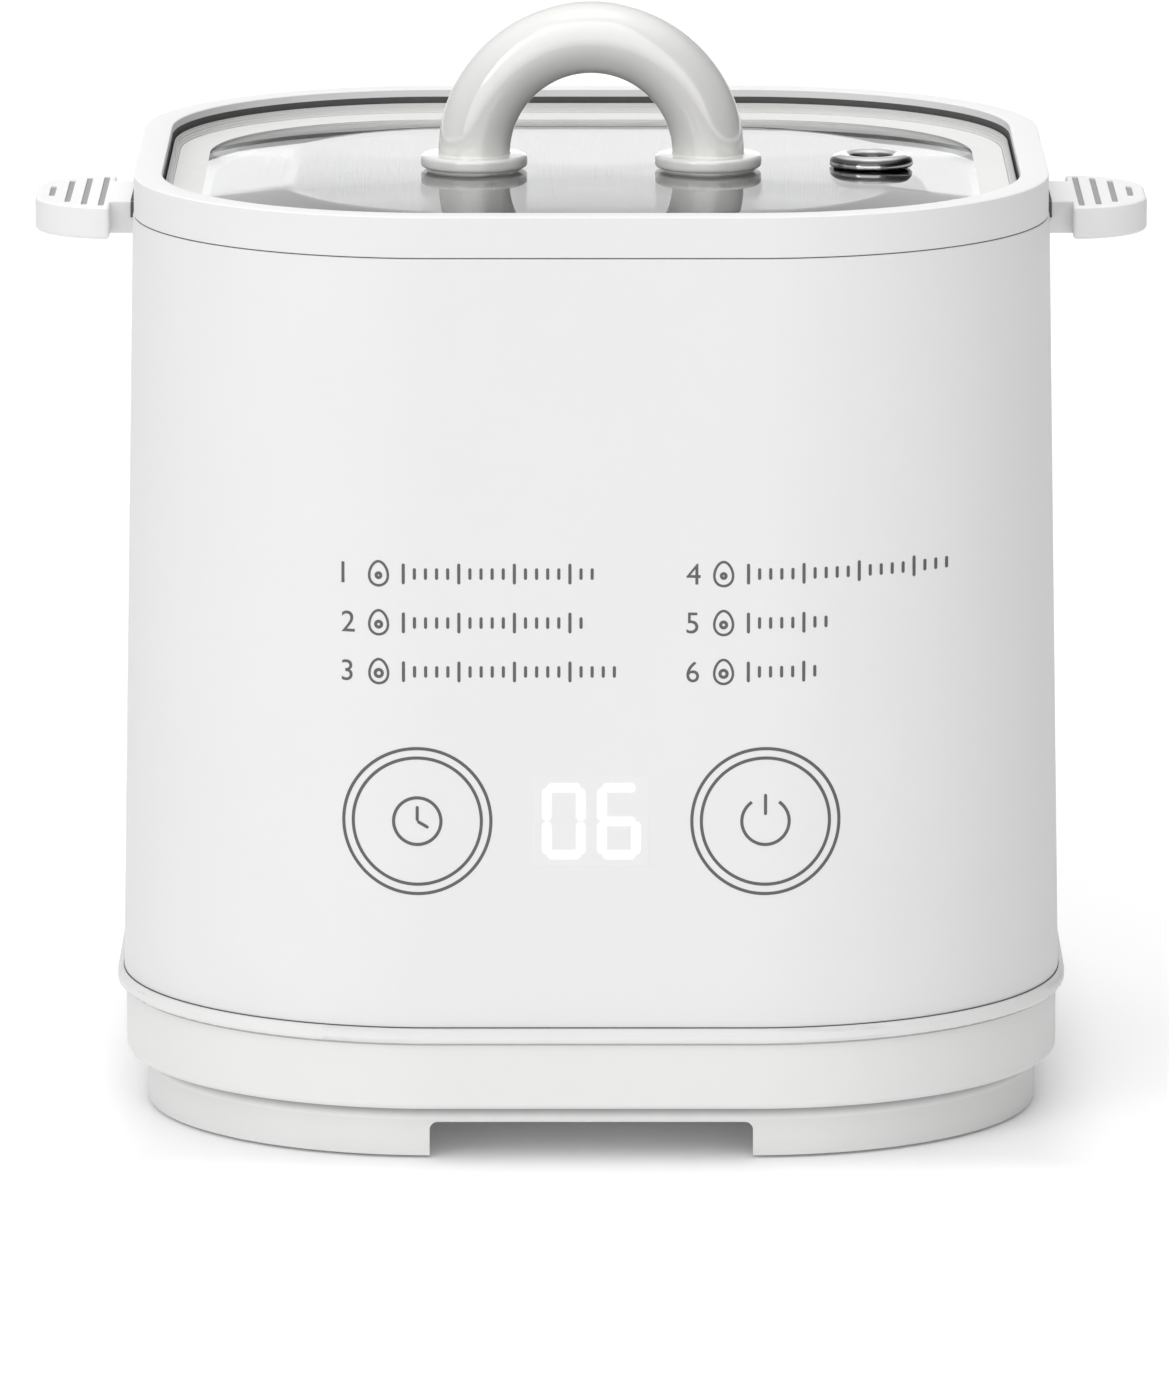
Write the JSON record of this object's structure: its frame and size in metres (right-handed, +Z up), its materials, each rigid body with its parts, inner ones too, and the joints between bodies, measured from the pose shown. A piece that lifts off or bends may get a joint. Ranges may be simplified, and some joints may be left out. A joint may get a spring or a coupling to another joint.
{
  "type": "egg cooker",
  "caption": "White rounded-square egg cooker with a recessed glass lid, an arched handle, side ears and a lift-out egg tray.",
  "frame": {"origin": "on the floor under the middle of the cooker", "axes": "+X to the right as seen from the control side, +Y towards the back, +Z up"},
  "size_m": [0.2214, 0.1888, 0.2159],
  "materials": {
    "white_shell": "smooth semi-gloss moulding",
    "white_base": "smooth semi-gloss moulding",
    "warm_white": "polished moulding",
    "lid_glass": "clear toughened glass",
    "rim_steel": "bright rolled steel",
    "bright_chrome": "polished",
    "pot_steel": "deep-drawn stainless steel",
    "cast_aluminium": "as cast",
    "screw_steel": "zinc plated",
    "silicone": "soft silicone",
    "foot_rubber": "matt rubber",
    "board_green": "solder mask",
    "black_plastic": "moulded",
    "copper_brown": "wound and varnished",
    "sleeve_blue": "shrunk sleeve",
    "grey_plastic": "moulded",
    "pin_brass": "nickel-bright brass"
  },
  "bodies": {
    "housing": {"outer_shell": "white_shell", "top_collar": "white_shell", "left_ear": "white_shell", "right_ear": "white_shell", "ear_plates": "screw_steel", "ear_screws": "screw_steel", "base_band": "white_base", "bottom_cover": "white_base", "rubber_feet": "foot_rubber", "base_screws": "screw_steel", "chamber_wall": "pot_steel", "chamber_flange": "pot_steel", "boiling_plate": "pot_steel", "chamber_seal": "silicone", "heating_plate": "cast_aluminium", "heating_element": "pot_steel", "thermistor": "cast_aluminium", "thermal_fuse": "sleeve_blue", "heat_shield": "pot_steel", "deck_screws": "screw_steel", "heater_posts": "screw_steel", "power_board": "board_green", "board_posts": "grey_plastic", "relay": "black_plastic", "transformer": "copper_brown", "filter_capacitor": "sleeve_blue", "control_board": "board_green", "control_screws": "screw_steel", "display_module": "black_plastic", "key_pads": "foot_rubber", "power_inlet": "black_plastic", "inlet_pins": "pin_brass"},
    "rack": {"egg_tray": "grey_plastic", "tray_legs": "grey_plastic", "tray_post": "pot_steel", "tray_knob": "warm_white"},
    "lid": {"lid_glass": "lid_glass", "lid_rim": "rim_steel", "lid_handle": "warm_white", "left_collar": "warm_white", "right_collar": "warm_white", "handle_screws": "screw_steel", "handle_washers": "silicone", "vent_eyelet": "bright_chrome", "vent_nut": "screw_steel"}
  },
  "joints": [
    {"name": "rack_lift", "type": "slide", "parent": "housing", "child": "rack", "axis": [0, 0, 1], "range_m": [0, 0.15]},
    {"name": "lid_lift", "type": "slide", "parent": "rack", "child": "lid", "axis": [0, 0, 1], "range_m": [0, 0.12]}
  ]
}
